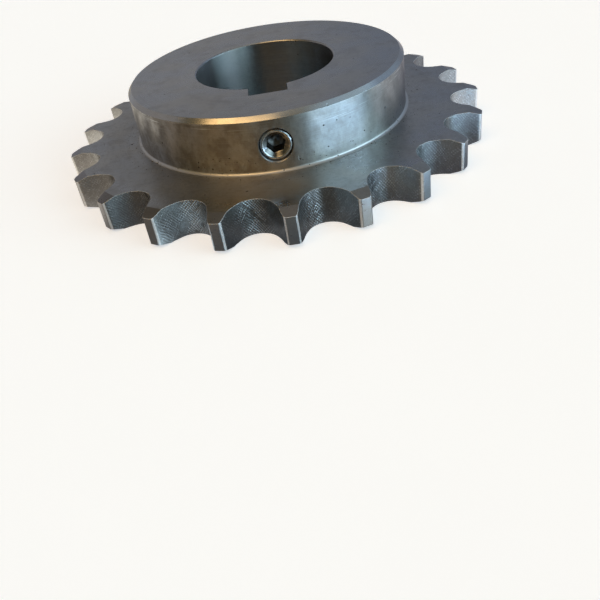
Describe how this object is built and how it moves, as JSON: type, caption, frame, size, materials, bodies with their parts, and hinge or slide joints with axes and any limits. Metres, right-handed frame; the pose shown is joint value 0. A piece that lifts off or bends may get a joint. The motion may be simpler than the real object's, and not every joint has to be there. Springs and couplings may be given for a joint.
{
  "type": "chain sprocket",
  "caption": "Flat toothed steel wheel for roller chain, with a raised round hub on one side, a through bore with a keyway, and set screws in the hub.",
  "frame": {"origin": "on the bore axis, in the plain face of the toothed plate, on the side away from the hub", "axes": "+Z along the bore towards the hub; -Y from the bore axis through the keyway and the set screw over it; +X to the right with the hub facing the viewer and the keyway down"},
  "size_m": [0.1123, 0.112, 0.0228],
  "materials": {
    "machined_steel": "bare turned and hobbed carbon steel, lightly oiled, with tool marks",
    "screw_steel": "dark alloy steel with worn bright edges"
  },
  "bodies": {
    "root": {"sprocket_body": "machined_steel", "keyway_set_screw": "screw_steel", "side_set_screw": "screw_steel"}
  },
  "joints": []
}
